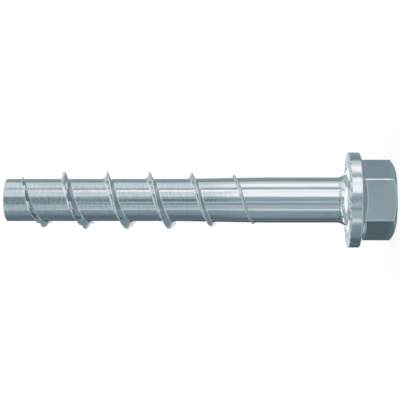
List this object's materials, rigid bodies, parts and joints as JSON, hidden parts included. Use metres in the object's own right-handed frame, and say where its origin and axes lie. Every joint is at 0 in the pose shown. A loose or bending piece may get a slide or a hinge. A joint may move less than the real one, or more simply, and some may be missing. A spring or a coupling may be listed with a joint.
{
  "type": "concrete screw",
  "caption": "Hex flange head concrete screw with a coarse single-start thread, a saw-toothed thread start and a flat tip.",
  "frame": {"origin": "centre of the flat top of the hexagon head, on which the screw stands", "axes": "+Z along the screw's axis from the head to the tip; one flat of the hexagon faces -Y"},
  "size_m": [0.028, 0.028, 0.1136],
  "materials": {
    "zinc_plated_steel": "bright blue-passivated zinc plating over cold-forged and rolled steel"
  },
  "bodies": {
    "root": {"concrete_screw": "zinc_plated_steel"}
  },
  "joints": []
}
